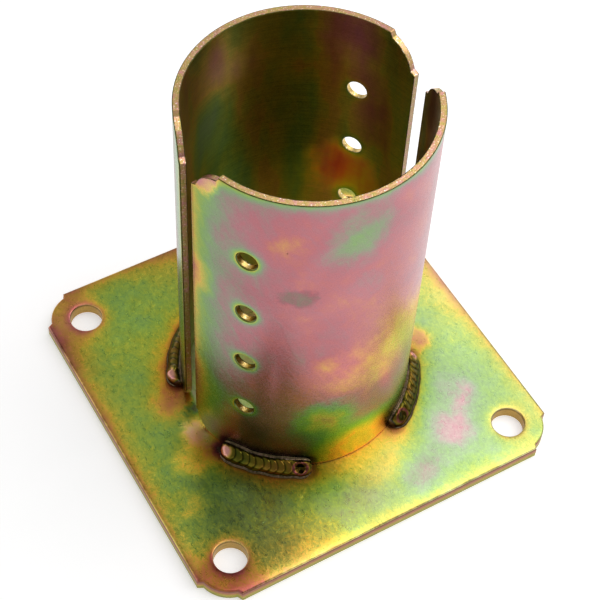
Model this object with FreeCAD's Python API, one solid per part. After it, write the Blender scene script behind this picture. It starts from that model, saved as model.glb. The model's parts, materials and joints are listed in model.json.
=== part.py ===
import FreeCAD, Part
import math
import os

# Base for a round timber post: a square plate with two half-round shells
# standing on it, each held by two fillet welds. Millimetres and degrees.
# Z points up, the underside of the plate is Z 0 and the post's axis is the
# Z axis. The plate's sides run along X and Y. Angles count from +X towards +Y.

# Base plate
plate_side = 150.0
plate_thickness = 5.0
plate_edge_round = 0.8
bolt_hole_dia = 12.5
bolt_hole_inset = 15.0
bolt_hole_round = 0.5

# Corners clipped by one punch, on the plate and at the tops of the shells
clip_reach = 12.0
clip_step = 2.0
clip_slant = 1.0
clip_depth = 5.3

# Half shells
post_dia = 80.0
post_clearance = 1.0
shell_wall = 2.5
shell_height = 150.0
slot_width = 8.5
shell_flat = 9.0
shell_turn = -1.0
shell_edge_round = 0.3

# Lower corners of the shells, cut off in a curve beside each slot
foot_clip_step = 0.8
foot_clip_height = 9.5
foot_clip_width = 7.5
foot_clip_curve_x = 2.6
foot_clip_curve_y = 4.2

# Holes for the screws or bolts that hold the post
screw_hole_dia = 7.5
screw_hole_count = 4
screw_hole_spacing = 28.0
screw_hole_bevel = 0.35
screw_column_inset = 23.0

# Fillet welds
weld_leg = 5.5
weld_crown = 0.7
weld_end_size = 0.3
weld_length = 35.0
weld_angles = {
    "weld_back_right": 46.5,
    "weld_back_left": 139.5,
    "weld_front_left": 226.5,
    "weld_front_right": 318.5,
}

# Worked out from the sizes above
bolt_hole_offset = plate_side / 2 - bolt_hole_inset
shell_inner_radius = post_dia / 2 + post_clearance
shell_outer_radius = shell_inner_radius + shell_wall
shell_base_z = plate_thickness
shell_top_z = shell_base_z + shell_height
shell_edge_radius = math.hypot(shell_outer_radius, shell_flat)
shell_edge_angle = math.degrees(math.asin(slot_width / 2 / shell_edge_radius))
bend_start_angle = shell_edge_angle + math.degrees(math.atan(shell_flat / shell_outer_radius))
screw_column_arc = screw_column_inset - shell_flat
screw_column_angle = bend_start_angle + math.degrees(screw_column_arc / shell_outer_radius)
screw_column_height = screw_hole_spacing * (screw_hole_count - 1)
first_screw_z = shell_base_z + (shell_height - screw_column_height) / 2
weld_half_angle = math.degrees(weld_length / 2 / shell_outer_radius)
overcut = 1.0
cutter_length = 8 * shell_wall


def point_at(radius, angle, z):
    """A point given by its distance from the post's axis, its angle and its height."""
    turn = math.radians(angle)
    return FreeCAD.Vector(radius * math.cos(turn), radius * math.sin(turn), z)


def make_clip_cutter(length):
    """The waste that the corner punch takes, with the corner at the origin.

    The metal lies towards +X and +Y of the corner, and the cutter is as long
    as given, centred on Z 0.
    """
    arc_start = FreeCAD.Vector(clip_reach - clip_slant, clip_step, 0)
    arc_middle = FreeCAD.Vector(clip_depth, clip_depth, 0)
    arc_end = FreeCAD.Vector(clip_step, clip_reach - clip_slant, 0)
    along_x = FreeCAD.Vector(clip_reach, 0, 0)
    along_y = FreeCAD.Vector(0, clip_reach, 0)
    below_x = FreeCAD.Vector(clip_reach, -overcut, 0)
    outside = FreeCAD.Vector(-overcut, -overcut, 0)
    beside_y = FreeCAD.Vector(-overcut, clip_reach, 0)
    edges = [
        Part.Arc(arc_start, arc_middle, arc_end).toShape(),
        Part.makeLine(arc_end, along_y),
        Part.makeLine(along_y, beside_y),
        Part.makeLine(beside_y, outside),
        Part.makeLine(outside, below_x),
        Part.makeLine(below_x, along_x),
        Part.makeLine(along_x, arc_start),
    ]
    waste = Part.Face(Part.Wire(edges)).extrude(FreeCAD.Vector(0, 0, length))
    waste.translate(FreeCAD.Vector(0, 0, -length / 2))
    return waste


def make_foot_cutter(length):
    """The waste off a lower corner of a shell, laid out as for the punch above."""
    curve_top = FreeCAD.Vector(foot_clip_step, foot_clip_height, 0)
    curve_middle = FreeCAD.Vector(foot_clip_curve_x, foot_clip_curve_y, 0)
    curve_foot = FreeCAD.Vector(foot_clip_width, 0, 0)
    below_foot = FreeCAD.Vector(foot_clip_width, -overcut, 0)
    outside = FreeCAD.Vector(-overcut, -overcut, 0)
    beside_top = FreeCAD.Vector(-overcut, foot_clip_height, 0)
    edges = [
        Part.Arc(curve_foot, curve_middle, curve_top).toShape(),
        Part.makeLine(curve_top, beside_top),
        Part.makeLine(beside_top, outside),
        Part.makeLine(outside, below_foot),
        Part.makeLine(below_foot, curve_foot),
    ]
    waste = Part.Face(Part.Wire(edges)).extrude(FreeCAD.Vector(0, 0, length))
    waste.translate(FreeCAD.Vector(0, 0, -length / 2))
    return waste


def edges_at_height(shape, z):
    """The edges of a shape that lie flat at one height."""
    flat = []
    for edge in shape.Edges:
        box = edge.BoundBox
        if abs(box.ZMin - z) < 1e-4 and abs(box.ZMax - z) < 1e-4:
            flat.append(edge)
    return flat


def make_base_plate():
    """Square plate with clipped corners, rolled upper edges and four bolt holes."""
    half = plate_side / 2
    plate = Part.makeBox(plate_side, plate_side, plate_thickness, FreeCAD.Vector(-half, -half, 0))
    for quarter in range(4):
        cutter = make_clip_cutter(3 * plate_thickness)
        cutter.translate(FreeCAD.Vector(-half, -half, 0))
        cutter.rotate(FreeCAD.Vector(0, 0, 0), FreeCAD.Vector(0, 0, 1), 90 * quarter)
        plate = plate.cut(cutter)
    plate = plate.makeFillet(plate_edge_round, edges_at_height(plate, plate_thickness))

    drills = []
    for side_x in (-1, 1):
        for side_y in (-1, 1):
            centre = FreeCAD.Vector(side_x, side_y, 0) * bolt_hole_offset
            below = centre - FreeCAD.Vector(0, 0, overcut)
            drills.append(Part.makeCylinder(bolt_hole_dia / 2, plate_thickness + 2 * overcut, below))
    plate = plate.cut(drills)
    hole_rims = [edge for edge in edges_at_height(plate, plate_thickness)
                 if abs(edge.BoundBox.XLength - bolt_hole_dia) < 1e-3]
    return plate.makeFillet(bolt_hole_round, hole_rims)


def point_on_flat(radius, side, distance):
    """A point on a shell's straight margin, as far from the bend as given.

    The shell here straddles +Y. Side 1 is its margin towards +X, and -1 the other.
    """
    turn = math.radians(bend_start_angle)
    x = radius * math.cos(turn) + distance * math.sin(turn)
    y = radius * math.sin(turn) - distance * math.cos(turn)
    return FreeCAD.Vector(side * x, y, shell_base_z)


def make_half_shell(turn):
    """Half-round shell with straight margins beside the slots, turned about the post's axis."""
    inner = shell_inner_radius
    outer = shell_outer_radius
    outer_edges = [point_on_flat(outer, side, shell_flat) for side in (1, -1)]
    inner_edges = [point_on_flat(inner, side, shell_flat) for side in (1, -1)]
    outer_bends = [point_on_flat(outer, side, 0) for side in (1, -1)]
    inner_bends = [point_on_flat(inner, side, 0) for side in (1, -1)]
    outline = [
        Part.makeLine(outer_edges[0], outer_bends[0]),
        Part.Arc(outer_bends[0], point_at(outer, 90, shell_base_z), outer_bends[1]).toShape(),
        Part.makeLine(outer_bends[1], outer_edges[1]),
        Part.makeLine(outer_edges[1], inner_edges[1]),
        Part.makeLine(inner_edges[1], inner_bends[1]),
        Part.Arc(inner_bends[1], point_at(inner, 90, shell_base_z), inner_bends[0]).toShape(),
        Part.makeLine(inner_bends[0], inner_edges[0]),
        Part.makeLine(inner_edges[0], outer_edges[0]),
    ]
    shell = Part.Face(Part.Wire(outline)).extrude(FreeCAD.Vector(0, 0, shell_height))

    for side in (1, -1):
        shell = shell.cut(place_at_corner(make_clip_cutter(cutter_length), side, shell_top_z, -1))
        shell = shell.cut(place_at_corner(make_foot_cutter(cutter_length), side, shell_base_z, 1))
    shell = shell.makeFillet(shell_edge_round, shell.Edges)

    for index in range(screw_hole_count):
        shell = shell.cut(make_screw_drill(first_screw_z + index * screw_hole_spacing))
    shell.rotate(FreeCAD.Vector(0, 0, 0), FreeCAD.Vector(0, 0, 1), turn)
    return shell


def place_at_corner(waste, side, z, up):
    """A cutter moved to a corner of a shell, square to its straight margin.

    The cutter's X then runs inward along the margin, and its Y upward from a
    lower corner, or downward from an upper one, as up is 1 or -1.
    """
    corner = point_on_flat(shell_outer_radius, side, shell_flat)
    corner.z = z
    inward = point_on_flat(shell_outer_radius, side, 0) - point_on_flat(shell_outer_radius, side, 1)
    upward = FreeCAD.Vector(0, 0, up)
    across = inward.cross(upward)
    frame = FreeCAD.Matrix(inward.x, upward.x, across.x, corner.x,
                           inward.y, upward.y, across.y, corner.y,
                           inward.z, upward.z, across.z, corner.z,
                           0, 0, 0, 1)
    waste.Placement = FreeCAD.Placement(frame).multiply(waste.Placement)
    return waste


def make_screw_drill(z):
    """Cutter for one screw hole, with the light bevel on the outside of the shell."""
    angle = screw_column_angle
    outward = point_at(1, angle, 0)
    radius = screw_hole_dia / 2
    inside = point_at(shell_inner_radius - 2 * overcut, angle, z)
    drill = Part.makeCylinder(radius, shell_wall + 4 * overcut, inside, outward)
    sagitta = shell_outer_radius - math.sqrt(shell_outer_radius ** 2 - radius ** 2)
    bevel_depth = screw_hole_bevel + sagitta
    bevel_base = point_at(shell_outer_radius - bevel_depth, angle, z)
    bevel_length = bevel_depth + overcut
    bevel = Part.makeCone(radius, radius + bevel_length, bevel_length, bevel_base, outward)
    return drill.fuse(bevel)


def make_weld_section(angle, size):
    """Closed section of a bead at one angle. It runs on into the shell and the plate."""
    leg = weld_leg * size
    crown = weld_crown * size
    root_radius = shell_outer_radius - overcut
    root_z = plate_thickness - overcut
    toe = point_at(shell_outer_radius + leg, angle, root_z)
    top = point_at(root_radius, angle, plate_thickness + leg)
    lower = point_at(shell_outer_radius + leg, angle, plate_thickness)
    upper = point_at(shell_outer_radius, angle, plate_thickness + leg)
    bulge = leg / 2 + crown
    middle = point_at(shell_outer_radius + bulge, angle, plate_thickness + bulge)
    root = point_at(root_radius, angle, root_z)
    return Part.Wire([
        Part.makeLine(root, toe),
        Part.makeLine(toe, lower),
        Part.Arc(lower, middle, upper).toShape(),
        Part.makeLine(upper, top),
        Part.makeLine(top, root),
    ])


def make_weld(middle_angle):
    """Fillet bead between a shell and the plate, full in the middle and drawn in at its ends."""
    steps = 8
    sections = []
    for step in range(steps + 1):
        place = math.sin(math.pi * (step / steps - 0.5))
        size = weld_end_size + (1 - weld_end_size) * math.sqrt(1 - place ** 6)
        sections.append(make_weld_section(middle_angle + place * weld_half_angle, size))
    bead = Part.makeLoft(sections, True, False)
    bead_reach = shell_outer_radius + 2 * weld_leg
    under = Part.makeCylinder(bead_reach, plate_thickness)
    within = Part.makeCylinder(shell_outer_radius, shell_top_z)
    return bead.cut(under).cut(within)


def main():
    """Build every piece and write one STEP file for each."""
    pieces = {"base_plate": make_base_plate()}

    pieces["back_shell"] = make_half_shell(shell_turn)
    pieces["front_shell"] = make_half_shell(shell_turn + 180)
    for name, angle in weld_angles.items():
        pieces[name] = make_weld(angle)

    os.makedirs("parts", exist_ok=True)
    for name, shape in pieces.items():
        print(name, shape.ShapeType, len(shape.Solids), shape.isValid(), round(shape.Volume, 1))
        shape.exportStep("parts/" + name + ".step")


main()
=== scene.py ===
import json
import math
import random
import bpy
import bmesh
from mathutils import Euler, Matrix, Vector, noise


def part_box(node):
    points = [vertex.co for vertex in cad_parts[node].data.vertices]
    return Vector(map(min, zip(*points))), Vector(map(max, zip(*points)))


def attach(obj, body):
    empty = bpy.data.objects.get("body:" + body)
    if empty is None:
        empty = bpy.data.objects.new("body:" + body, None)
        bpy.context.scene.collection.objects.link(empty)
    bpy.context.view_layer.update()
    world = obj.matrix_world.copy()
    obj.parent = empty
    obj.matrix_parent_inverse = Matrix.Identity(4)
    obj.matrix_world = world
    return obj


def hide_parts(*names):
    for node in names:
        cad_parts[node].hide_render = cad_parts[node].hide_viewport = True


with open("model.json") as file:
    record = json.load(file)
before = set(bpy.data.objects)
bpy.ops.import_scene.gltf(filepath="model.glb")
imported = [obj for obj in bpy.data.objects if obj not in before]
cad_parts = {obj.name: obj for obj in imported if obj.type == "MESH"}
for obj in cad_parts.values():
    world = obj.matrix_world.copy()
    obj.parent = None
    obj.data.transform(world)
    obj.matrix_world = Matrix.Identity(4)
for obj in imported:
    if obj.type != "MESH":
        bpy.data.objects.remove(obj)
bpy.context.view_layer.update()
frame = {"nodes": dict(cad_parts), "record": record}
nodes = frame["nodes"]
mounts = {m["name"]: m for m in frame["record"]["mounts"]}
print("frame loaded:", ", ".join(sorted(nodes)))


# the looks are worked out in millimetres
def toMm(metres):
    return metres * 1000


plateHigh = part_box("base_plate")[1]
shellLow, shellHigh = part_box("front_shell")
crossBolts = [mounts["cross_bolt_%d" % i] for i in (1, 2)]
boltHoles = mounts["plate_bolts"]["dims"]
size = {
    "plateHalf": toMm(plateHigh.x),
    "plateTop": toMm(plateHigh.z),
    "outerR": -toMm(shellLow.y),
    "innerR": mounts["post_socket"]["dims"]["r_mm"],
    "shellTop": toMm(shellHigh.z),
    "boltX": boltHoles["spacing_x_mm"] / 2,
    "boltY": boltHoles["spacing_y_mm"] / 2,
    "boltR": boltHoles["hole_r_mm"],
    "screwR": crossBolts[0]["dims"]["r_mm"],
    "screwLow": toMm(crossBolts[0]["pos_m"][2]),
    "screwStep": toMm(crossBolts[1]["pos_m"][2] - crossBolts[0]["pos_m"][2]),
    "screwAxis": Vector(crossBolts[0]["axis"]),
}


def weldPlace(name):
    # middle angle, half sweep, reach out and up of a bead, read from its node
    points = [v.co for v in nodes[name].data.vertices]
    middle = sum(points, Vector()) / len(points)
    mid = math.atan2(middle.y, middle.x)
    turns = [(math.atan2(p.y, p.x) - mid + math.pi) % (2 * math.pi) - math.pi for p in points]
    return {
        "angle": mid + (max(turns) + min(turns)) / 2,
        "half": (max(turns) - min(turns)) / 2,
        "reach": toMm(max(p.to_2d().length for p in points)),
        "rise": toMm(max(p.z for p in points)),
    }


weldNames = ["weld_front_left", "weld_front_right", "weld_back_left", "weld_back_right"]
weldPlaces = {name: weldPlace(name) for name in weldNames}


# short hands for building node trees
def paint(code):
    # "rrggbb" as it looks on screen, to the linear value that a socket takes
    parts = [int(code[i:i + 2], 16) / 255 for i in (0, 2, 4)]
    return [c / 12.92 if c <= 0.04045 else ((c + 0.055) / 1.055) ** 2.4 for c in parts] + [1.0]


def plug(value, socket):
    if isinstance(value, bpy.types.NodeSocket):
        socket.id_data.links.new(value, socket)
    elif value is not None:
        socket.default_value = value


def nodeBy(kind, *values):
    # a new node in the tree that the given sockets belong to
    socket = next(value for value in values if isinstance(value, bpy.types.NodeSocket))
    return socket.id_data.nodes.new(kind)


def mathN(operation, a, b=None, c=None, clamp=False):
    node = nodeBy("ShaderNodeMath", a, b, c)
    node.operation = operation
    node.use_clamp = clamp
    for value, socket in zip((a, b, c), node.inputs):
        plug(value, socket)
    return node.outputs[0]


def chainN(operation, values):
    total = values[0]
    for value in values[1:]:
        total = mathN(operation, total, value)
    return total


def addUp(*values):
    return chainN("ADD", values)


def times(*values):
    return chainN("MULTIPLY", values)


def minus(a, b):
    return mathN("SUBTRACT", a, b)


def timesPlus(a, b, c):
    return mathN("MULTIPLY_ADD", a, b, c)


def larger(a, b):
    return mathN("MAXIMUM", a, b)


def smaller(a, b):
    return mathN("MINIMUM", a, b)


def unsigned(a):
    return mathN("ABSOLUTE", a)


def layer(total, *pairs):
    # adds each pattern times its amount
    for value, amount in pairs:
        total = timesPlus(value, amount, total)
    return total


def swing(value, amount):
    # a 0..1 pattern turned into -amount..+amount
    return timesPlus(value, 2 * amount, -amount)


def vectorN(operation, a, b=None, scale=None):
    node = nodeBy("ShaderNodeVectorMath", a, b)
    node.operation = operation
    plug(a, node.inputs[0])
    plug(b, node.inputs[1])
    if scale is not None:
        plug(scale, node.inputs["Scale"])
    plain = operation in ("LENGTH", "DOT_PRODUCT", "DISTANCE")
    return node.outputs["Value" if plain else "Vector"]


def mapN(value, fromMin, fromMax, toMin=0.0, toMax=1.0, smooth=True):
    node = nodeBy("ShaderNodeMapRange", value)
    node.interpolation_type = "SMOOTHSTEP" if smooth else "LINEAR"
    for item, socket in zip((value, fromMin, fromMax, toMin, toMax), node.inputs):
        plug(item, socket)
    return node.outputs[0]


def fadeN(value, near, far):
    # 1 up to near, 0 from far on
    return mapN(value, near, far, 1.0, 0.0)


def splitN(vector):
    node = nodeBy("ShaderNodeSeparateXYZ", vector)
    plug(vector, node.inputs[0])
    return node.outputs[0], node.outputs[1], node.outputs[2]


def joinN(x, y, z=0.0):
    node = nodeBy("ShaderNodeCombineXYZ", x, y, z)
    for value, socket in zip((x, y, z), node.inputs):
        plug(value, socket)
    return node.outputs[0]


def lengthN(x, y, z=0.0):
    return vectorN("LENGTH", joinN(x, y, z))


def noiseN(vector, scale, detail=2.0, rough=0.5, twist=0.0, output="Fac"):
    node = nodeBy("ShaderNodeTexNoise", vector)
    plug(vector, node.inputs["Vector"])
    plug(scale, node.inputs["Scale"])
    plug(detail, node.inputs["Detail"])
    plug(rough, node.inputs["Roughness"])
    plug(twist, node.inputs["Distortion"])
    return node.outputs[output]


def blendN(factor, a, b):
    node = nodeBy("ShaderNodeMix", factor)
    node.data_type = "FLOAT"
    for value, socket in zip((factor, a, b), (node.inputs[0], node.inputs[2], node.inputs[3])):
        plug(value, socket)
    return node.outputs[0]


def rampN(value, stops):
    node = nodeBy("ShaderNodeValToRGB", value)
    bar = node.color_ramp
    bar.interpolation = "B_SPLINE"
    while len(bar.elements) < len(stops):
        bar.elements.new(0.5)
    for element, (place, code) in zip(bar.elements, stops):
        element.position = place
        element.color = paint(code)
    plug(value, node.inputs[0])
    return node.outputs[0]


def newGroup(name, inputs, outputs):
    # inputs are names with starting values, None for a vector
    tree = bpy.data.node_groups.new(name, "ShaderNodeTree")
    for label, start in inputs.items():
        kind = "NodeSocketVector" if start is None else "NodeSocketFloat"
        socket = tree.interface.new_socket(name=label, in_out="INPUT", socket_type=kind)
        if start is not None:
            socket.default_value = start
    for label in outputs:
        kind = "NodeSocketColor" if label == "Colour" else "NodeSocketFloat"
        tree.interface.new_socket(name=label, in_out="OUTPUT", socket_type=kind)
    entry = tree.nodes.new("NodeGroupInput")
    leave = tree.nodes.new("NodeGroupOutput")
    return tree, entry.outputs, leave.inputs


def groupN(group, **values):
    # inputs by name with spaces taken out: grainSize for "Grain Size"
    node = nodeBy("ShaderNodeGroup", *values.values())
    node.node_tree = group
    for socket in node.inputs:
        key = socket.name.replace(" ", "")
        key = key[0].lower() + key[1:]
        if key in values:
            plug(values.pop(key), socket)
    assert not values, values
    return node.outputs


# effects that the finishes share
film = {
    # one turn of the passivation's colours as its film thickens
    "stops": [
        (0.00, "e6d07c"), (0.13, "dcb488"), (0.25, "d19a92"), (0.36, "cb929c"), (0.48, "bda3a2"),
        (0.60, "a9b8a0"), (0.73, "a8c48e"), (0.86, "bccb7a"), (1.00, "e6d07c"),
    ],
}


def makeFilmColour():
    tree, given, out = newGroup("filmColour", {"Film": 0.4, "Depth": 1.0, "Tone": 1.0}, ["Colour"])
    colour = rampN(mathN("FRACT", given["Film"]), film["stops"])
    deep = tree.nodes.new("ShaderNodeGamma")
    plug(colour, deep.inputs[0])
    plug(given["Depth"], deep.inputs[1])
    plug(vectorN("SCALE", deep.outputs[0], scale=given["Tone"]), out["Colour"])
    return tree


def makeEdgeFilm():
    # the film grows thicker towards edges and holes
    tree, given, out = newGroup("edgeFilm", {"Distance": 0.0, "Reach": 5.0, "Rise": 0.3}, ["Film"])
    fall = mathN("DIVIDE", larger(given["Distance"], 0.0), given["Reach"])
    fade = mathN("EXPONENT", times(fall, -1.0))
    plug(times(fade, given["Rise"]), out["Film"])
    return tree


def makeSteelGrain():
    # pickled and rolled steel under the zinc: crystals, small bumps
    tree, given, out = newGroup(
        "steelGrain", {"Position": None, "Grain Size": 0.6, "Strength": 1.0},
        ["Tone", "Height", "Rough"])
    scale = mathN("DIVIDE", 1.0, given["Grain Size"])
    coarse = noiseN(given["Position"], times(scale, 0.35), 2.0, 0.6)
    fine = noiseN(given["Position"], scale, 3.0, 0.65)
    both = addUp(swing(fine, 0.7), swing(coarse, 0.5))
    plug(times(both, given["Strength"]), out["Tone"])
    plug(times(fine, given["Strength"]), out["Height"])
    plug(swing(coarse, 0.5), out["Rough"])
    return tree


def makePits():
    # scattered dark pinholes, some cells of the pattern left empty
    wobbleScale = 1.3
    wobbleReach = 0.7
    emptyShare = 0.45
    tree, given, out = newGroup("pits", {"Position": None, "Spacing": 9.0, "Size": 0.35}, ["Mask"])
    wobble = noiseN(given["Position"], wobbleScale, output="Color")
    moved = vectorN("ADD", given["Position"], vectorN("SCALE", wobble, scale=wobbleReach))
    cells = tree.nodes.new("ShaderNodeTexVoronoi")
    plug(moved, cells.inputs["Vector"])
    plug(mathN("DIVIDE", 1.0, given["Spacing"]), cells.inputs["Scale"])
    away = times(cells.outputs["Distance"], given["Spacing"])
    pick, vary = splitN(cells.outputs["Color"])[:2]
    own = times(given["Size"], timesPlus(vary, 1.1, 0.3))
    spot = fadeN(away, times(own, 0.6), own)
    chosen = mathN("GREATER_THAN", pick, emptyShare)
    plug(times(spot, chosen), out["Mask"])
    return tree


def makeScratches():
    # short fine lines along the first direction of the position given
    tree, given, out = newGroup(
        "scratches", {"Position": None, "Length": 8.0, "Width": 0.25, "Amount": 0.3},
        ["Mask"])
    shorten = mathN("DIVIDE", 1.0, given["Length"])
    narrow = mathN("DIVIDE", 1.0, given["Width"])
    drawn = vectorN("MULTIPLY", given["Position"], joinN(shorten, narrow, narrow))
    lines = noiseN(drawn, 1.0, 1.0)
    limit = timesPlus(given["Amount"], -0.12, 0.80)
    plug(mapN(lines, limit, addUp(limit, 0.05)), out["Mask"])
    return tree


def makeStain():
    # a soft spot round a point; where the position given has been wavered first, its outline
    # wanders
    tree, given, out = newGroup(
        "stain", {"Position": None, "Centre": None, "Radius": 5.0, "Softness": 4.0},
        ["Mask"])
    away = vectorN("DISTANCE", given["Position"], given["Centre"])
    near = minus(given["Radius"], given["Softness"])
    far = addUp(given["Radius"], given["Softness"])
    plug(fadeN(away, near, far), out["Mask"])
    return tree


def makeWeldHeat():
    # how near a point lies to the four beads round the tube's foot
    core = 2.5               # radius of the bead's hot middle
    endPull = 0.04           # radians by which the heat stops short of a bead's end
    tree, given, out = newGroup("weldHeat", {"Position": None, "Reach": 6.0}, ["Heat", "Distance"])
    x, y, z = splitN(given["Position"])
    flat = joinN(x, y)
    around = vectorN("NORMALIZE", flat)
    nearest = None
    for place in weldPlaces.values():
        aim = (math.cos(place["angle"]), math.sin(place["angle"]), 0.0)
        facing = smaller(vectorN("DOT_PRODUCT", around, aim), 0.99999)
        past = larger(minus(mathN("ARCCOSINE", facing), place["half"] - endPull), 0.0)
        nearest = past if nearest is None else smaller(nearest, past)
    along = times(nearest, size["outerR"])
    outward = minus(vectorN("LENGTH", flat), size["outerR"] + core)
    upward = larger(minus(z, size["plateTop"] + core), 0.0)
    away = lengthN(along, outward, upward)
    plug(away, out["Distance"])
    fall = mathN("DIVIDE", minus(away, core), given["Reach"])
    plug(mathN("EXPONENT", times(larger(fall, 0.0), -1.0)), out["Heat"])
    return tree


def makeShearMarks():
    # cut and sheared faces: drag lines and torn flecks
    tree, given, out = newGroup(
        "shearMarks", {"Position": None, "Stretch": None, "Strength": 1.0},
        ["Tone", "Height"])
    drawn = vectorN("MULTIPLY", given["Position"], given["Stretch"])
    lines = noiseN(drawn, 1.0, 3.0, 0.6)
    flecks = noiseN(given["Position"], 2.2, 2.0, 0.6)
    tone = addUp(swing(lines, 0.9), swing(flecks, 0.5))
    plug(times(tone, given["Strength"]), out["Tone"])
    plug(times(lines, given["Strength"]), out["Height"])
    return tree


def makeEdgeWear():
    # a rubbed line along an edge, broken up by noise; the plate brightens it, partly as rubbed
    # metal and partly as a painted highlight
    tree, given, out = newGroup(
        "edgeWear", {"Position": None, "Distance": 0.0, "Width": 0.5}, ["Mask"])
    broken = noiseN(given["Position"], 0.7, 3.0, 0.65)
    width = times(given["Width"], timesPlus(broken, 1.8, 0.1))
    plug(fadeN(given["Distance"], 0.0, width), out["Mask"])
    return tree


filmColour = makeFilmColour()
edgeFilm = makeEdgeFilm()
steelGrain = makeSteelGrain()
pits = makePits()
scratches = makeScratches()
stain = makeStain()
weldHeat = makeWeldHeat()
shearMarks = makeShearMarks()
edgeWear = makeEdgeWear()
print("shared effects ready")


def newMaterial(name):
    material = bpy.data.materials.new(name)
    material.use_nodes = True
    tree = material.node_tree
    tree.nodes.clear()
    end = tree.nodes.new("ShaderNodeOutputMaterial")
    shader = tree.nodes.new("ShaderNodeBsdfPrincipled")
    shader.inputs["Metallic"].default_value = 1.0
    tree.links.new(shader.outputs[0], end.inputs[0])
    return material, tree, shader


def positionN(tree):
    # place on the object in millimetres
    place = tree.nodes.new("ShaderNodeTexCoord")
    return vectorN("SCALE", place.outputs["Object"], scale=1000.0)


def facingN(tree):
    # which way the surface faces, without its bumps
    return tree.nodes.new("ShaderNodeNewGeometry").outputs["True Normal"]


def edgeRise(distance, reach, rise):
    return groupN(edgeFilm, distance=distance, reach=reach, rise=rise)["Film"]


def pitMask(position, spacing, pitSize):
    return groupN(pits, position=position, spacing=spacing, size=pitSize)["Mask"]


def finish(shader, filmHere, depth, tone, rough, height):
    # colour from the film, bumps from a height in millimetres
    colour = groupN(filmColour, film=filmHere, depth=depth, tone=tone)["Colour"]
    plug(colour, shader.inputs["Base Color"])
    plug(rough, shader.inputs["Roughness"])
    bump = nodeBy("ShaderNodeBump", height)
    bump.inputs["Distance"].default_value = 0.001
    plug(height, bump.inputs["Height"])
    plug(bump.outputs[0], shader.inputs["Normal"])


def spot(at, radius, soft, **adds):
    # a spot and what it adds to film, depth and tone
    return {"at": at, "radius": radius, "soft": soft, **adds}


def spotMask(position, each):
    return groupN(stain, position=position, centre=each["at"], radius=each["radius"],
                  softness=each["soft"])["Mask"]


waver = {"scale": 0.075, "detail": 4.0, "rough": 0.6, "reach": 16.0}


def addStains(position, stains):
    # sums what the spots add to the film, its depth and its brightness
    sums = {"film": 0.0, "depth": 0.0, "tone": 0.0}
    cloud = noiseN(position, waver["scale"], waver["detail"], waver["rough"], output="Color")
    push = vectorN("SUBTRACT", cloud, (0.5, 0.5, 0.5))
    position = vectorN("ADD", position, vectorN("SCALE", push, scale=waver["reach"]))
    for each in stains:
        mask = spotMask(position, each)
        for part in sums:
            if part in each:
                sums[part] = timesPlus(mask, each[part], sums[part])
    return sums


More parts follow.
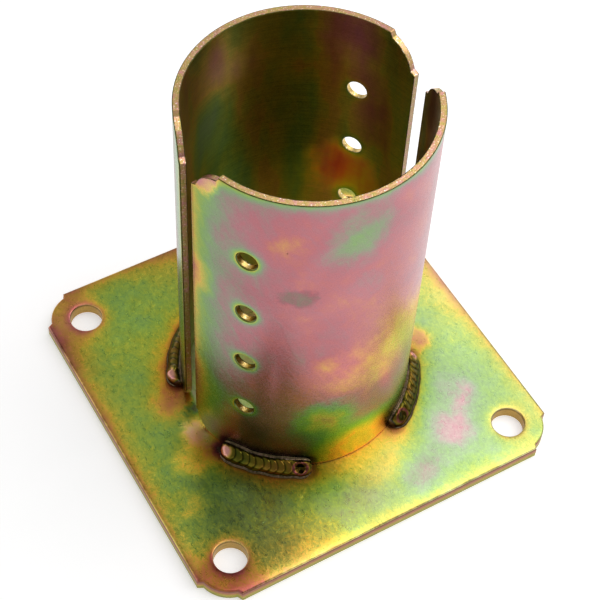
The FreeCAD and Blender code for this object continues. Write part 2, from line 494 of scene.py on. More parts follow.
# base plate
plateLook = {
    "film": 0.80,            # green in the open field
    "filmLean": 0.12,        # how much thinner it is where the plate leans right and forward
    "lean": (0.87, -0.5),
    "leanSpan": (-20.0, 60.0),
    "slow": (0.022, 3.0, 0.55, 0.6),     # noises: scale, detail, roughness, twist
    "medium": (0.09, 3.0, 0.6),
    "close": (0.30, 4.0, 0.6, 0.8),
    "drift": 0.12,           # how far each of the three changes the film
    "patch": 0.11,
    "mottle": 0.06,
    "depthSpan": (-70.0, 60.0),
    "depthLeft": 1.85,       # partly painted shade: deeper, darker film on the left, paler film on the right where the softbox falls; partly the film's own change
    "depthRight": 1.25,
    "depthPatch": 0.25,
    "edgeReach": 4.5,
    "edgeRise": 0.35,
    "holeReach": 2.3,
    "holeRise": 0.34,
    "heatReach": 4.5,
    "heatRise": 0.34,
    "heatDepth": 0.7,
    "heatDark": 0.22,
    "toe": (3.5, 4.3),       # painted contact shade: the dark line along a bead, by distance from its core
    "toeDark": 0.25,
    "rollOver": 0.55,        # depth of the soft rolled edge left by the shear
    "rollReach": 2.2,
    "holeRollOver": 0.25,
    "holeRollReach": 0.8,
    "grainSize": 0.62,
    "grainStretch": (1.3, 0.6, 1.0),
    "grainBend": (4.0, 9.0),
    "grainSpan": (-130.0, -40.0),
    "grainCoarse": 1.6,      # towards the front corner
    "grainFine": 0.8,
    "grainFilm": 0.17,
    "grainTone": 0.60,
    "grainRough": 0.18,
    "grainHeight": 0.030,
    "socketFilm": 0.62,      # inside the tube
    "socketSwing": 0.6,
    "socketDepth": 0.8,
    # painted light: the plate inside the tube is brightened, and socketDepth makes it paler
    "socketBright": 0.12,
    "pitSpacing": 24.0,
    "pitSize": 0.40,
    "pitDark": 0.65,
    "pitHeight": 0.05,
    "scratchTurns": (28, 64, -52),
    "scratchLength": 3.2,
    "scratchWidth": 0.16,
    "scratchBright": 0.30,
    "scratchHeight": 0.01,
    "wearEdge": 0.9,         # width of the line along the sides, then round the holes, that is partly rubbed metal and partly a painted highlight
    "wearHole": 0.6,
    "wearFilm": 0.10,
    "wearDepth": 0.7,
    "wearBright": 0.22,
    "outline": (0.55, 1.1),  # thin dark line just inside the sides
    "outlineDark": 0.50,
    "cutFilm": 0.92,         # sheared sides
    "bandRange": (1.2, 3.6),
    "cutBand": 0.30,
    "cutDrag": 0.14,
    "cutDepth": 1.5,
    "cutTone": 0.72,
    "cutDragTone": 0.40,
    "cutLine": (1.3, 0.8),   # how far under the top face the dark line starts and ends
    "cutLineDark": 0.30,
    "cutRough": 0.10,
    "cutHeight": 0.12,
    "cutStretch": (0.25, 0.25, 3.5),
    "wallFilm": 1.05,        # walls of the bolt holes
    "roughness": 0.30,
    "stains": [
        spot((-30, -62, 5), 12, 10, film=0.12, tone=0.12),
        spot((-15, 62, 5), 16, 12, film=0.06),
        spot((40, -52, 5), 7, 6, film=-0.24, depth=-0.2),
        spot((51, -42, 5), 4, 4, film=-0.20, depth=-0.2),
        spot((42, -36, 5), 9, 7, film=-0.08, tone=0.08),
        spot((50, -11, 5), 5, 4, film=0.36),
        spot((70, 14, 5), 21, 14, film=0.17, tone=0.40),
        spot((64, -18, 5), 10, 9, film=0.04, tone=0.22),
        spot((8, -48, 5), 13, 8, film=0.18, tone=0.20),
        spot((-50, 8, 5), 6, 6, film=0.28, tone=-0.05),
        spot((20, -61, 5), 8, 6, film=-0.18),
        spot((-46, -8, 5), 5, 3, film=0.30, depth=-0.9, tone=0.42),
        spot((-54, -18, 5), 6, 4, film=0.17, tone=0.48),
        spot((-43, -17, 5), 3, 3, film=0.40),
        spot((-62, -34, 5), 6, 4, film=0.14, tone=0.28),
        spot((-38, -47, 5), 11, 8, film=-0.06, depth=0.2, tone=0.58),
        spot((-22, -64, 5), 13, 10, film=-0.08, depth=0.25, tone=0.72),
        spot((62, -58, 5), 13, 10, film=-0.01, tone=-0.12),
        spot((-43, 3, 5), 2.5, 2, film=-0.34, tone=-0.2),
        spot((-67, 63, 5), 12, 10, film=0.18),
        spot((-68, -68, 5), 12, 8, film=0.19, depth=0.5, tone=-0.03),
        spot((-71, 46, 5), 8, 7, film=0.05, tone=-0.22),
        spot((-42, 50, 5), 21, 12, film=-0.02, tone=0.22),
    ],
}


def makePlateZinc(look):
    material, tree, shader = newMaterial("plateZinc")
    place = positionN(tree)
    x, y, z = splitN(place)
    up = splitN(facingN(tree))[2]

    # distances to the outer edges and to the nearest bolt hole
    farX = unsigned(x)
    farY = unsigned(y)
    edge = minus(size["plateHalf"], larger(farX, farY))
    fromHole = lengthN(minus(farX, size["boltX"]), minus(farY, size["boltY"]))
    hole = minus(fromHole, size["boltR"])
    outside = mapN(lengthN(x, y), size["innerR"] - 1.0, size["innerR"] + 1.0)
    weld = groupN(weldHeat, position=place, reach=look["heatReach"])
    heat = times(weld["Heat"], outside)
    stains = addStains(place, look["stains"])

    leanX, leanY = look["lean"]
    across = addUp(times(x, leanX), times(y, leanY))
    slow = noiseN(place, *look["slow"])
    medium = noiseN(place, *look["medium"])
    close = noiseN(place, *look["close"])
    coarser = mapN(addUp(x, y), *look["grainSpan"], look["grainCoarse"], look["grainFine"])
    bendX, bendY = look["grainBend"]
    bent = joinN(timesPlus(close, bendX, x), timesPlus(medium, bendY, y), z)
    grain = groupN(steelGrain, position=vectorN("MULTIPLY", bent, look["grainStretch"]),
                   grainSize=look["grainSize"], strength=coarser)
    filmHere = addUp(
        swing(slow, look["drift"]),
        swing(medium, look["patch"]),
        swing(close, look["mottle"]),
        edgeRise(edge, look["edgeReach"], look["edgeRise"]),
        edgeRise(hole, look["holeReach"], look["holeRise"]),
        times(heat, look["heatRise"]),
        stains["film"],
        times(grain["Tone"], look["grainFilm"]),
        mapN(across, *look["leanSpan"], look["film"], look["film"] - look["filmLean"]))
    socketFilm = addUp(look["socketFilm"], swing(medium, look["socketSwing"]))
    filmHere = blendN(outside, socketFilm, filmHere)
    # partly painted shade: the film is deeper and darker towards the left and paler towards the
    # right, where the softbox falls
    depth = addUp(
        mapN(across, *look["depthSpan"], look["depthLeft"], look["depthRight"]),
        swing(medium, look["depthPatch"]),
        times(heat, look["heatDepth"]),
        stains["depth"])
    depth = blendN(outside, look["socketDepth"], depth)

    # cut sides and hole walls
    cut = fadeN(unsigned(up), 0.45, 0.65)
    wall = fadeN(hole, 0.3, 0.6)
    drag = groupN(shearMarks, position=place, stretch=look["cutStretch"])
    band = mapN(z, *look["bandRange"])
    cutFilm = addUp(timesPlus(band, look["cutBand"], look["cutFilm"]),
                    times(drag["Tone"], look["cutDrag"]))
    filmHere = blendN(cut, filmHere, blendN(wall, cutFilm, look["wallFilm"]))
    depth = blendN(cut, depth, look["cutDepth"])

    # pits, scratches, and rubbed edges that are brightened partly as a painted highlight
    speck = pitMask(place, look["pitSpacing"], look["pitSize"])
    marks = 0.0
    for turn in look["scratchTurns"]:
        way = math.radians(turn)
        along = vectorN("DOT_PRODUCT", place, (math.cos(way), math.sin(way), 0.0))
        aside = vectorN("DOT_PRODUCT", place, (-math.sin(way), math.cos(way), 0.0))
        lines = groupN(scratches, position=joinN(along, aside, float(turn)),
                       length=look["scratchLength"], width=look["scratchWidth"], amount=1.0)["Mask"]
        marks = addUp(marks, lines)
    marks = times(marks, mapN(medium, 0.40, 0.60))
    wornEdge = groupN(edgeWear, position=place, distance=edge, width=look["wearEdge"])["Mask"]
    wornHole = groupN(edgeWear, position=place, distance=hole, width=look["wearHole"])["Mask"]
    # partly real wear, partly painted highlight: the edges and hole rims get paler, brighter film
    wear = times(larger(wornEdge, wornHole), minus(1.0, cut))
    filmHere = timesPlus(wear, -look["wearFilm"], filmHere)
    depth = timesPlus(wear, -look["wearDepth"], depth)

    # painted contact shade along the beads' toes
    toe = times(fadeN(weld["Distance"], *look["toe"]), outside)
    # painted light: the tone is raised inside the tube, and outside it the raise is taken off again
    tone = layer(
        addUp(stains["tone"], 1.0 + look["socketBright"]),
        (grain["Tone"], look["grainTone"]),
        (speck, -look["pitDark"]),
        (marks, look["scratchBright"]),
        (heat, -look["heatDark"]),
        (toe, -look["toeDark"]),
        (wear, look["wearBright"]),
        (outside, -look["socketBright"]))
    broken = larger(mapN(medium, 0.40, 0.55), mapN(x, 60.0, 72.0))
    outline = times(fadeN(edge, *look["outline"]), broken)
    tone = timesPlus(outline, -look["outlineDark"], tone)
    topLine = mapN(z, *(size["plateTop"] - below for below in look["cutLine"]))
    cutTone = timesPlus(drag["Tone"], look["cutDragTone"], look["cutTone"])
    tone = blendN(cut, tone, timesPlus(topLine, -look["cutLineDark"], cutTone))

    rough = layer(look["roughness"], (grain["Rough"], look["grainRough"]), (cut, look["cutRough"]))
    roll = addUp(edgeRise(edge, look["rollReach"], -look["rollOver"]),
                 edgeRise(hole, look["holeRollReach"], -look["holeRollOver"]))
    height = layer(
        times(roll, mapN(up, 0.5, 0.9)),
        (grain["Height"], look["grainHeight"]),
        (speck, -look["pitHeight"]),
        (marks, look["scratchHeight"]),
        (times(drag["Height"], cut), look["cutHeight"]))
    finish(shader, filmHere, depth, tone, rough, height)
    return material


# the two half shells
def onShell(angle, height):
    # a point on the outside of the tube, angle in degrees
    turn = math.radians(angle)
    return (size["outerR"] * math.cos(turn), size["outerR"] * math.sin(turn), height)


shellLook = {
    "film": 0.33,            # rose in the open field
    "slow": (0.026, 2.5, 0.5, 0.8),      # noises: scale, detail, roughness, twist
    "medium": (0.10, 3.0, 0.6, 0.5),
    "close": (0.35, 4.0, 0.6, 0.6),
    "rubs": (1.0, 5.0, 0.65, 1.2),
    "bands": (0.06, 3.0, 0.5, 0.3),
    "patches": (0.35, 3.0, 0.7, 0.5),
    "flecks": (1.6, 2.0, 0.6),
    "drift": 0.10,           # how far the first four change the film
    "patch": 0.12,
    "mottle": 0.05,
    "rubbed": 0.12,
    "rubStretch": (0.16, 0.05, 0.0),     # wiped streaks that run aslant
    "rubSlant": 0.07,
    "depth": 1.45,
    "depthDrift": 0.3,
    "slotHalf": 4.0,
    "slotReach": 9.5,
    "slotRise": 0.66,
    "slotDepthReach": 9.0,
    "slotDepth": 0.55,
    "topReach": 2.6,
    "topRise": 0.42,
    "holeReach": 1.35,
    "holeRise": 0.70,
    "footRise": 0.60,        # towards gold near the plate
    "footDepth": 0.5,
    "footLineDark": 0.55,
    "heatReach": 5.0,
    "heatDepth": 0.6,
    "heatDark": 0.30,
    "toe": (4.1, 5.0),       # painted contact shade: the dark line along a bead, by distance from its core
    "toeDark": 0.45,
    "skirtFilm": 1.15,       # the lowest millimetre
    "skirtPale": 0.7,
    "borderDark": 0.30,      # thin dark line along the rim and the slots
    "insideFilm": 0.98,      # olive and brown bands
    "insideBands": 0.45,
    "insideTone": 0.92,
    "insideDepth": 1.7,
    "insideRough": 0.10,
    "insideHoleReach": 1.6,
    "insideHoleFall": 0.2,
    # painted shade: the inside wall is darker near the rim, fading out 34 mm down
    "insideRimDark": 0.26,
    "brushLength": 16.0,
    "brushFilm": 0.05,
    "brushTone": 0.30,
    "brushHeight": 0.014,
    "grainSize": 0.5,
    "grainFilm": 0.02,
    "grainTone": 0.035,
    "grainToneInside": 0.30,
    "grainRough": 0.12,
    "grainHeight": 0.003,
    "pitSpacing": 11.0,
    "pitSize": 0.38,
    "pitDark": 0.6,
    "pitDarkInside": 0.3,
    "pitHeight": 0.05,
    "dentStretch": (0.5, 1.0, 1.0),
    "dentSpacing": 15.0,
    "dentSize": 0.62,
    "dentDark": 0.42,
    "scratchSlant": 0.45,
    "scratchLength": 6.0,
    "scratchWidth": 0.20,
    "scratchAmount": 0.9,
    "scratchBright": 0.16,
    "rubHeight": 0.06,
    "rimFilm": 0.12,         # rim and slot faces
    "rimDrag": 0.16,
    "rimPatch": 0.45,
    "rimLineFilm": 0.12,
    "rimDepth": 1.15,
    "rimTone": 0.92,
    "rimDragTone": 0.55,
    "rimPatchTone": 0.75,
    "rimLineDark": 0.74,
    "rimRough": 0.05,
    "rimHeight": 0.10,
    "fleckDepth": 0.8,
    "fleckBright": 0.35,
    "cutStretch": (0.9, 0.9, 3.2),
    "margin": (3.8, 13.0),   # the straight strip beside a slot, by distance from the slot's middle
    "flare": 0.87,           # how far that strip stands out past the circle
    # painted shade: the upright slot faces are darker than the rim's top faces
    "uprightDark": 0.42,
    # painted shade: the rounded corners between the rim and slot faces and the walls are darker
    "cornerDark": 0.60,
    "darkest": 0.10,
    "wallFilm": 0.04,        # walls of the screw holes
    "roughness": 0.27,
    "footGold": spot(onShell(272, 9), 17, 8, film=0.99, depth=1.0, tone=0.58),
    "stains": [
        spot(onShell(262, 136), 10, 8, film=0.30, depth=0.1, tone=0.04),
        spot(onShell(238, 109), 5, 1.5, film=0.13, depth=0.3, tone=-0.04),
        spot(onShell(268, 111), 7, 2.5, film=0.07),
        spot(onShell(232, 134), 5, 4, film=-0.14),
        spot(onShell(252, 70), 5, 3, film=-0.12),
        spot(onShell(254, 34), 9, 12, film=0.77),
        spot(onShell(272, 58), 15, 11, film=-0.13, tone=0.38),
        spot(onShell(301, 66), 18, 14, film=-0.22),
        spot(onShell(20, 70), 14, 10, film=0.22),
        spot(onShell(75, 118), 9, 6, film=0.24),
        spot(onShell(110, 52), 16, 12, film=-0.16),
        spot(onShell(140, 120), 10, 7, film=0.20),
        # painted shade: the lower left of the shell, turned away from the softbox, is darkened by
        # these two spots
        spot(onShell(234, 17), 17, 11, film=0.02, tone=-0.58),
        spot(onShell(214, 24), 9, 7, tone=-0.28),
        spot(onShell(187, 100), 8, 4, film=0.18),
        spot(onShell(189, 34), 12, 9, film=0.22, tone=0.10),
        spot(onShell(187, 151), 9, 3, film=0.42, depth=-0.5),
    ],
    "insideStains": [
        spot(onShell(36, 79), 11, 9, film=0.19, depth=1.6, tone=2.4),
        spot(onShell(104, 138), 11, 9, film=0.20, depth=-0.5, tone=0.34),
        spot(onShell(27, 116), 12, 11, film=0.18, depth=0.1, tone=0.02),
        spot(onShell(42, 148), 10, 9, film=0.26, tone=0.10),
        spot(onShell(118, 112), 14, 10, film=-0.14, depth=-0.2, tone=0.26),
        spot(onShell(48, 128), 9, 8, film=0.15, depth=0.3),
        # painted shade: the middle of the inner wall is darkened
        spot(onShell(75, 104), 28, 20, film=0.02, tone=-0.42),
    ],
}


def makeShellZinc(look):
    material, tree, shader = newMaterial("shellZinc")
    place = positionN(tree)
    x, y, z = splitN(place)
    flat = joinN(x, y)
    radius = vectorN("LENGTH", flat)
    facing = facingN(tree)
    up = splitN(facing)[2]
    middleR = (size["outerR"] + size["innerR"]) / 2
    around = times(mathN("ARCTAN2", y, x), middleR)
    unrolled = joinN(around, z, radius)
    turned = vectorN("DOT_PRODUCT", facing, vectorN("NORMALIZE", flat))
    inside = mapN(turned, -0.3, -0.6)

    # distances to the slots, the rim, the foot and the nearest screw hole
    slot = minus(unsigned(y), look["slotHalf"])
    slotTurn = mathN("ARCSINE", mathN("DIVIDE", slot, middleR + 2))
    slotArc = times(slotTurn, middleR)
    rim = minus(size["shellTop"], z)
    foot = minus(z, size["plateTop"])
    axis = size["screwAxis"]
    sideways = vectorN("DOT_PRODUCT", place, (-axis.y, axis.x, 0.0))
    middleZ = size["screwLow"] + 1.5 * size["screwStep"]
    fromMiddle = unsigned(minus(z, middleZ))
    fromPair = unsigned(minus(fromMiddle, size["screwStep"]))
    fromScrew = lengthN(sideways, minus(fromPair, size["screwStep"] / 2))
    screw = minus(fromScrew, size["screwR"])
    weld = groupN(weldHeat, position=place, reach=look["heatReach"])
    heat = weld["Heat"]
    stains = addStains(place, look["stains"])

    # film on the outside
    slow = noiseN(place, *look["slow"])
    medium = noiseN(place, *look["medium"])
    close = noiseN(place, *look["close"])
    leaned = vectorN("ADD", vectorN("MULTIPLY", unrolled, look["rubStretch"]),
                     joinN(times(z, look["rubSlant"]), 0.0))
    rubbed = noiseN(leaned, *look["rubs"])
    grain = groupN(steelGrain, position=place, grainSize=look["grainSize"])
    footNear = times(fadeN(foot, 4.0, 26.0), mapN(x, -26.0, -4.0, 0.12))
    outsideFilm = addUp(
        swing(slow, look["drift"]),
        swing(medium, look["patch"]),
        swing(rubbed, look["rubbed"]),
        swing(close, look["mottle"]),
        edgeRise(slotArc, look["slotReach"], look["slotRise"]),
        edgeRise(rim, look["topReach"], look["topRise"]),
        edgeRise(screw, look["holeReach"], look["holeRise"]),
        times(footNear, look["footRise"]),
        stains["film"],
        times(grain["Tone"], look["grainFilm"]),
        look["film"])
    gold = look["footGold"]
    gilt = spotMask(place, gold)
    goldFilm = addUp(gold["film"], swing(medium, look["patch"]))
    outsideFilm = blendN(gilt, outsideFilm, goldFilm)
    skirt = fadeN(addUp(foot, swing(medium, 1.5)), 0.9, 1.5)
    outsideFilm = blendN(skirt, outsideFilm, look["skirtFilm"])

    # film on the inside
    brush = groupN(shearMarks, position=unrolled, stretch=(1 / look["brushLength"], 3.0, 0.3))
    bands = noiseN(joinN(around, times(z, 0.3), 7.0), *look["bands"])
    # the inside spots: film colour patches, and painted shade where the middle of the inner wall is
    # darkened
    glow = addStains(place, look["insideStains"])
    insideFilm = addUp(
        look["insideFilm"],
        swing(bands, look["insideBands"]),
        times(brush["Tone"], look["brushFilm"]),
        edgeRise(screw, look["insideHoleReach"], -look["insideHoleFall"]),
        glow["film"])
    filmHere = blendN(inside, outsideFilm, insideFilm)

    # rim and slot faces, lined along both edges, and the walls of the screw holes
    tilt = unsigned(turned)
    sidelong = fadeN(tilt, 0.5, 0.75)
    drag = groupN(shearMarks, position=unrolled, stretch=look["cutStretch"])
    wall = fadeN(screw, 0.25, 0.5)
    margin = mapN(unsigned(y), *look["margin"], 1.0, 0.0, smooth=False)
    flare = times(margin, margin, look["flare"])
    fromCentre = unsigned(minus(minus(radius, flare), middleR))
    patchy = noiseN(place, *look["patches"])
    lined = mapN(addUp(fromCentre, swing(patchy, 0.25)), 0.80, 1.02)
    flecks = mapN(noiseN(place, *look["flecks"]), 0.58, 0.68)
    rimFilm = layer(
        addUp(look["rimFilm"], swing(patchy, look["rimPatch"])),
        (drag["Tone"], look["rimDrag"]),
        (lined, -look["rimLineFilm"]))
    filmHere = blendN(sidelong, filmHere, blendN(wall, rimFilm, look["wallFilm"]))

    slotDepth = edgeRise(slotArc, look["slotDepthReach"], look["slotDepth"])
    depth = layer(
        addUp(look["depth"], swing(slow, look["depthDrift"]), slotDepth, stains["depth"]),
        (footNear, look["footDepth"]),
        (heat, look["heatDepth"]),
        (gilt, gold["depth"]),
        (skirt, -look["skirtPale"]))
    depth = blendN(inside, depth, addUp(look["insideDepth"], glow["depth"]))
    rimDepth = timesPlus(flecks, -look["fleckDepth"], look["rimDepth"])
    depth = blendN(sidelong, depth, rimDepth)

    # pits, dents and scratches
    speck = pitMask(place, look["pitSpacing"], look["pitSize"])
    slant = look["scratchSlant"]
    slanted = joinN(timesPlus(z, slant, around), timesPlus(around, -slant, z))
    marks = groupN(scratches, position=slanted, length=look["scratchLength"],
                   width=look["scratchWidth"], amount=look["scratchAmount"])["Mask"]
    dents = pitMask(vectorN("MULTIPLY", slanted, look["dentStretch"]), look["dentSpacing"],
                    look["dentSize"])

    outTone = layer(
        addUp(stains["tone"], 1.0),
        (grain["Tone"], look["grainTone"]),
        (gilt, gold["tone"]),
        (speck, -look["pitDark"]),
        (marks, look["scratchBright"]),
        (heat, -look["heatDark"]),
        (dents, -look["dentDark"]),
        # painted contact shade along the beads' toes
        (fadeN(weld["Distance"], *look["toe"]), -look["toeDark"]),
        (fadeN(foot, 0.15, 0.7), -look["footLineDark"]),
        (fadeN(smaller(rim, slotArc), 0.25, 0.75), -look["borderDark"]))
    inTone = layer(
        addUp(glow["tone"], look["insideTone"]),
        # painted shade on the inside, near the rim
        (fadeN(rim, 2.0, 34.0), -look["insideRimDark"]),
        (brush["Tone"], look["brushTone"]),
        (grain["Tone"], look["grainToneInside"]),
        (speck, -look["pitDarkInside"]))
    cutTone = layer(
        addUp(look["rimTone"], swing(patchy, look["rimPatchTone"])),
        (drag["Tone"], look["rimDragTone"]),
        (lined, -look["rimLineDark"]),
        (flecks, look["fleckBright"]))
    # painted shade on the upright cut faces
    upright = times(fadeN(unsigned(up), 0.3, 0.6), minus(1.0, wall))
    cutTone = times(cutTone, timesPlus(upright, -look["uprightDark"], 1.0))
    tone = blendN(inside, outTone, inTone)
    tone = blendN(sidelong, tone, larger(cutTone, look["darkest"]))
    # painted shade on the rounded corners, picked by how far a face is turned
    corner = times(mapN(tilt, 0.15, 0.45), fadeN(tilt, 0.90, 0.98))
    tone = times(tone, timesPlus(corner, -look["cornerDark"], 1.0))

    rough = layer(look["roughness"], (grain["Rough"], look["grainRough"]),
                  (inside, look["insideRough"]), (sidelong, look["rimRough"]))
    height = layer(
        0.0,
        (grain["Height"], look["grainHeight"]),
        (rubbed, look["rubHeight"]),
        (addUp(speck, dents), -look["pitHeight"]),
        (times(brush["Height"], inside), look["brushHeight"]),
        (times(drag["Height"], sidelong), look["rimHeight"]))
    finish(shader, filmHere, depth, tone, rough, height)
    return material


# weld beads
weldLook = {
    "ripple": 2.5,           # distance from ripple to ripple
    "rippleHeight": 0.34,
    "bow": 3.2,              # how far each ripple bows along the bead
    "crown": 1.25,
    "lump": 0.30,
    "lift": 0.10,            # least height over the straight line between the legs
    "endRadius": 4.8,
    "endLeft": 0.12,         # share of the bead's section left at its very ends
    "spread": 1.14,          # how far the bead's lips run out past its legs
    "legShare": 0.93,
    "legWander": (0.10, 0.12),
    "lipWander": 0.16,
    "knobLength": 2.4,
    "craterLength": 2.1,
    "craterWidth": 0.20,     # across the bead, where its face is 1 wide
    "craterDip": 1.35,
    "brimWidth": 0.34,
    "brimHeight": 0.35,
    "bury": 0.5,             # how deep the bead's back lies in the steel
    "faceWidth": 8.2,        # across the bead, lip to lip
    "craterAt": 4.6,         # from the finishing end
    "knobAt": 3.4,           # from the starting end
    "ragged": (0.9, 2.0, 0.6),           # noises: scale, detail, roughness, twist
    "slow": (0.16, 2.0, 0.5, 0.3),
    "bodyFilm": 0.94,        # dark bronze
    "bodySwing": 0.22,
    # partly painted reflection: the body is kept dark as if mirroring dark surroundings, partly its
    # own dark bronze
    "bodyTone": 0.22,
    "toneSwing": 0.10,
    "rippleFilm": 0.06,
    # painted shade in the valleys between ripples
    "grooveDark": 0.16,
    "seamDark": 0.20,
    "poolFilm": 0.30,        # ring round the crater: its film colour, brightened as a painted glint
    "poolBright": 0.16,
    "poolDark": 0.22,
    "bulbFilm": 0.24,        # painted highlight, pink, on the starting knob
    "bulbBright": 0.95,
    "depth": 1.9,
    "bulbDepth": 1.2,
    "lipDepth": 0.85,
    "lipRough": 0.10,
    "darkest": 0.06,
    "grainSize": 0.35,
    "grainTone": 0.06,
    "grainRough": 0.12,
    "grainHeight": 0.02,
    "roughness": 0.13,
    "step": 0.22,            # mesh spacing along the bead
    "across": 34,
    # which end each bead starts from (1 or -1), its starting knob and its end crater
    "runs": {
        "weld_front_left": {"start": -1, "knob": 0.6, "crater": 1.45, "seed": 11},
        "weld_front_right": {"start": 1, "knob": 0.3, "crater": 0.5, "seed": 23},
        "weld_back_left": {"start": 1, "knob": 1.2, "crater": 0.4, "seed": 37},
        "weld_back_right": {"start": 1, "knob": 0.6, "crater": 0.6, "seed": 41},
    },
}


def smooth(low, high, value):
    t = min(1.0, max(0.0, (value - low) / (high - low)))
    return t * t * (3 - 2 * t)


def bell(distance, width):
    return math.exp(-(distance / width) ** 2)


def makeBeadRings(look, place, run, length, rows):
    # sections of the bead as angle, radius and height, and each ripple's phase across them
    rng = random.Random(run["seed"])
    seed = Vector((rng.uniform(-50, 50), rng.uniform(-50, 50), rng.uniform(-50, 50)))
    across = look["across"]
    outerR = size["outerR"]
    floor = size["plateTop"]
    legOut = (place["reach"] - outerR) * look["spread"]
    legUp = (place["rise"] - floor) * look["spread"]
    outWander, upWander = look["legWander"]
    rings = []
    phases = []
    for i in range(rows + 1):
        s = length * i / rows                      # from where the bead was started
        turn = place["angle"] - run["start"] * (s / length * 2 - 1) * place["half"]
        fromEnd = min(1.0, min(s, length - s) / look["endRadius"])
        tip = look["endLeft"] + (1 - look["endLeft"]) * math.sqrt(max(0.0, 1 - (1 - fromEnd) ** 2))
        outDrift = noise.noise(seed + Vector((s * 0.22, 0, 0)))
        upDrift = noise.noise(seed + Vector((s * 0.22, 9, 0)))
        out = legOut * (look["legShare"] + outWander * outDrift) * tip
        up = legUp * (look["legShare"] + upWander * upDrift) * tip
        knob = run["knob"] * bell(s - look["knobAt"], look["knobLength"])
        crater = run["crater"] * bell(length - s - look["craterAt"], look["craterLength"])
        toe = Vector((outerR + out, floor))
        top = Vector((outerR, floor + up))
        normal = Vector((up, out)).normalized()
        ring = []
        phaseRow = []
        for j in range(across + 1):
            v = j / across                         # 0 on the plate, 1 on the shell
            body = smooth(0.10, 0.30, v) * smooth(0.05, 0.24, 1 - v)
            phase = (s + look["bow"] * (2 * v - 1) ** 2 + 0.5 * outDrift) / look["ripple"]
            phaseRow.append(phase)
            part = phase - math.floor(phase)
            fold = part ** 2 * smooth(0.0, 0.30, 1 - part)
            arch = math.sin(math.pi * v)
            swell = look["crown"] * (arch ** 0.7 if 0 < v < 1 else 0.0)
            lump = look["lump"] * noise.noise(seed + Vector((s * 0.35, v * 2, 3)))
            rise = look["rippleHeight"] * (fold - 0.3) * (1 + 0.8 * upDrift) + lump
            lift = look["lift"] + body * tip * (swell + rise + knob * arch)
            dip = look["craterDip"] * crater * bell(v - 0.5, look["craterWidth"])
            nearBrim = ((v - 0.5) / look["brimWidth"]) ** 2 - 1
            brim = look["brimHeight"] * crater * math.exp(-3 * nearBrim ** 2)
            lift += body * (brim - dip)
            point = toe.lerp(top, v) + normal * lift
            wander = look["lipWander"] * noise.noise(seed + Vector((s * 1.6, v * 2.5, 8)))
            ring.append((turn + wander * (1 - body) / outerR, point.x, max(point.y, floor + 0.02)))
        ring.append((turn, outerR - look["bury"], floor + up * 0.9))
        ring.append((turn, outerR - look["bury"], floor - look["bury"]))
        ring.append((turn, outerR + out * 0.9, floor - look["bury"]))
        rings.append(ring)
        phases.append(phaseRow)
    return rings, phases


def makeWeldBead(name, look, material):
    place = weldPlaces[name]
    length = 2 * place["half"] * size["outerR"]
    rows = int(length / look["step"])
    across = look["across"]
    rings, phases = makeBeadRings(look, place, look["runs"][name], length, rows)
    mesh = bmesh.new()
    rippleChart = mesh.loops.layers.uv.new("ripples")     # ripple's phase, place across
    endChart = mesh.loops.layers.uv.new("ends")           # millimetres from start and from finish
    verts = [[mesh.verts.new((math.cos(turn) * r / 1000, math.sin(turn) * r / 1000, z / 1000))
              for turn, r, z in ring] for ring in rings]
    count = len(verts[0])
    for i in range(rows):
        for j in range(count):
            k = (j + 1) % count
            face = mesh.faces.new((verts[i][j], verts[i][k], verts[i + 1][k], verts[i + 1][j]))
            face.smooth = j < across
            corners = ((i, j), (i, j + 1), (i + 1, j + 1), (i + 1, j))
            for loop, (row, column) in zip(face.loops, corners):
                side = min(column, across)
                loop[rippleChart].uv = (phases[row][side], side / across)
                loop[endChart].uv = (length * row / rows, length * (1 - row / rows))
    for ring in (verts[0], verts[-1]):
        mesh.faces.new(ring)
    bmesh.ops.recalc_face_normals(mesh, faces=mesh.faces)
    data = bpy.data.meshes.new(name + "_bead")
    mesh.to_mesh(data)
    mesh.free()
    bead = bpy.data.objects.new(name + "_bead", data)
    bpy.context.scene.collection.objects.link(bead)
    data.materials.append(material)
    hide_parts(name)
    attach(bead, "root")


def chartN(tree, name):
    chart = tree.nodes.new("ShaderNodeUVMap")
    chart.uv_map = name
    return splitN(chart.outputs[0])[:2]


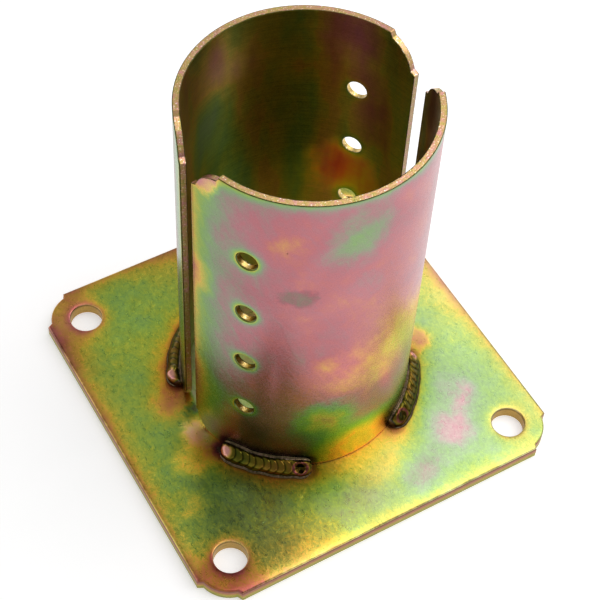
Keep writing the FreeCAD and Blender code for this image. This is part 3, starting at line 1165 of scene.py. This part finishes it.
def makeWeldZinc(look):
    material, tree, shader = newMaterial("weldZinc")
    place = positionN(tree)
    phase, v = chartN(tree, "ripples")
    fromStart, fromEnd = chartN(tree, "ends")
    fromCentre = minus(v, 0.5)
    aside = times(fromCentre, look["faceWidth"])
    middle = unsigned(fromCentre)
    part = mathN("FRACT", phase)
    # painted shade: the valley of each ripple, darkened
    groove = larger(fadeN(part, 0.0, 0.30), mapN(part, 0.86, 1.0))
    ragged = noiseN(place, *look["ragged"])
    slow = noiseN(place, *look["slow"])
    grain = groupN(steelGrain, position=place, grainSize=look["grainSize"])

    # lips along both sides and round the ends, with a dark seam inside them
    sideLip = mapN(addUp(middle, swing(ragged, 0.05)), 0.36, 0.41)
    lip = larger(sideLip, fadeN(smaller(fromStart, fromEnd), 0.5, 1.1))
    seam = times(mapN(middle, 0.30, 0.36), fadeN(middle, 0.38, 0.42))

    # the crater's dark pool and its ring, which carries a painted glint, and the painted highlight
    # on the starting knob
    pool = lengthN(minus(fromEnd, look["craterAt"]), aside)
    poolDark = fadeN(pool, 1.4, 2.2)
    poolRing = times(mapN(pool, 1.6, 2.3), fadeN(pool, 2.5, 3.3))
    bulb = lengthN(minus(fromStart, look["knobAt"]), aside)
    bulbShine = fadeN(bulb, 1.4, 3.0)

    filmHere = layer(
        addUp(look["bodyFilm"], swing(slow, look["bodySwing"])),
        (part, look["rippleFilm"]),
        (poolRing, look["poolFilm"]),
        (bulbShine, look["bulbFilm"]))
    filmHere = blendN(lip, filmHere, timesPlus(ragged, 0.3, -0.05))
    depth = blendN(lip, blendN(bulbShine, look["depth"], look["bulbDepth"]), look["lipDepth"])
    tone = layer(
        addUp(look["bodyTone"], swing(slow, look["toneSwing"])),
        (groove, -look["grooveDark"]),
        (poolDark, -look["poolDark"]),
        (bulbShine, look["bulbBright"]),
        (poolRing, look["poolBright"]),
        (seam, -look["seamDark"]))
    lipTone = timesPlus(ragged, 0.38, -0.05)
    tone = blendN(lip, larger(tone, look["darkest"]), lipTone)
    tone = layer(tone, (grain["Tone"], look["grainTone"]))
    rough = layer(look["roughness"], (grain["Rough"], look["grainRough"]), (lip, look["lipRough"]))
    finish(shader, filmHere, depth, tone, rough, times(grain["Height"], look["grainHeight"]))
    return material


def dress(name, material):
    data = nodes[name].data
    data.materials.clear()
    data.materials.append(material)


shellZinc = makeShellZinc(shellLook)
weldZinc = makeWeldZinc(weldLook)
dress("base_plate", makePlateZinc(plateLook))
dress("front_shell", shellZinc)
dress("back_shell", shellZinc)
print("plate and shells finished")
for weldName in weldNames:
    makeWeldBead(weldName, weldLook, weldZinc)
print("weld beads made")


# floor, light and camera
studio = {
    "floorSize": 8.0,
    "floorDrop": 0.0001,     # metres under the plate
    "floorColour": "f2f2f2",
    "floorGlow": 0.45,       # seen directly and in reflections, so the floor reads as white
    "ambient": 0.35,
    "ceiling": 0.47,         # what polished metal sees overhead, away from the softbox
    "ceilingFrom": (0.05, 0.40),
    "lampPlace": (0.40, -0.08, 0.76),
    "lampAim": (0, 0, 0.03),
    "lampSize": 0.95,
    "lampPower": 5.2,
}


def makeFloor(look):
    mesh = bmesh.new()
    half = look["floorSize"] / 2
    corners = ((-1, -1), (1, -1), (1, 1), (-1, 1))
    mesh.faces.new([mesh.verts.new((x * half, y * half, -look["floorDrop"])) for x, y in corners])
    data = bpy.data.meshes.new("floor")
    mesh.to_mesh(data)
    mesh.free()
    floor = bpy.data.objects.new("floor", data)
    bpy.context.scene.collection.objects.link(floor)
    material = bpy.data.materials.new("studioFloor")
    material.use_nodes = True
    tree = material.node_tree
    tree.nodes.clear()
    end = tree.nodes.new("ShaderNodeOutputMaterial")
    matt = tree.nodes.new("ShaderNodeBsdfDiffuse")
    matt.inputs["Color"].default_value = paint(look["floorColour"])
    glow = tree.nodes.new("ShaderNodeEmission")
    glow.inputs["Color"].default_value = (1, 1, 1, 1)
    rays = tree.nodes.new("ShaderNodeLightPath").outputs
    seen = mathN("ADD", rays["Is Camera Ray"], rays["Is Glossy Ray"])
    seen = mathN("ADD", seen, rays["Is Transmission Ray"], clamp=True)
    plug(times(seen, look["floorGlow"]), glow.inputs["Strength"])
    both = tree.nodes.new("ShaderNodeAddShader")
    tree.links.new(matt.outputs[0], both.inputs[0])
    tree.links.new(glow.outputs[0], both.inputs[1])
    tree.links.new(both.outputs[0], end.inputs[0])
    data.materials.append(material)


def makeWorld(look):
    # a white backdrop low down, a dim ceiling above it in the reflections
    world = bpy.data.worlds.new("studio")
    bpy.context.scene.world = world
    world.use_nodes = True
    tree = world.node_tree
    tree.nodes.clear()
    end = tree.nodes.new("ShaderNodeOutputWorld")
    back = tree.nodes.new("ShaderNodeBackground")
    back.inputs["Color"].default_value = (1, 1, 1, 1)
    rays = tree.nodes.new("ShaderNodeLightPath").outputs
    direction = tree.nodes.new("ShaderNodeTexCoord").outputs["Generated"]
    overhead = mapN(splitN(direction)[2], *look["ceilingFrom"], 1.0, look["ceiling"])
    mirrored = mathN("ADD", rays["Is Glossy Ray"], rays["Is Transmission Ray"], clamp=True)
    strength = blendN(mirrored, look["ambient"], overhead)
    strength = blendN(rays["Is Camera Ray"], strength, 1.0)
    plug(strength, back.inputs["Strength"])
    tree.links.new(back.outputs[0], end.inputs[0])


def makeLamp(look):
    data = bpy.data.lights.new("softbox", "AREA")
    data.shape = "SQUARE"
    data.size = look["lampSize"]
    data.energy = look["lampPower"]
    lamp = bpy.data.objects.new("softbox", data)
    lamp.location = look["lampPlace"]
    aim = Vector(look["lampAim"]) - Vector(look["lampPlace"])
    lamp.rotation_euler = aim.to_track_quat("-Z", "Y").to_euler()
    bpy.context.scene.collection.objects.link(lamp)


view = {
    "place": (-0.1939, -0.30455, 0.53429),
    "turn": (36.642, -2.170, -29.699),
    "lens": 99.07,
    "sensor": 36.0,
}


def makeCamera(look):
    data = bpy.data.cameras.new("camera")
    data.lens = look["lens"]
    data.sensor_width = look["sensor"]
    camera = bpy.data.objects.new("camera", data)
    camera.location = look["place"]
    camera.rotation_euler = Euler([math.radians(a) for a in look["turn"]])
    bpy.context.scene.collection.objects.link(camera)
    bpy.context.scene.camera = camera


makeFloor(studio)
makeWorld(studio)
makeLamp(studio)
makeCamera(view)
bpy.context.scene.view_settings.view_transform = "Standard"
print("studio ready")
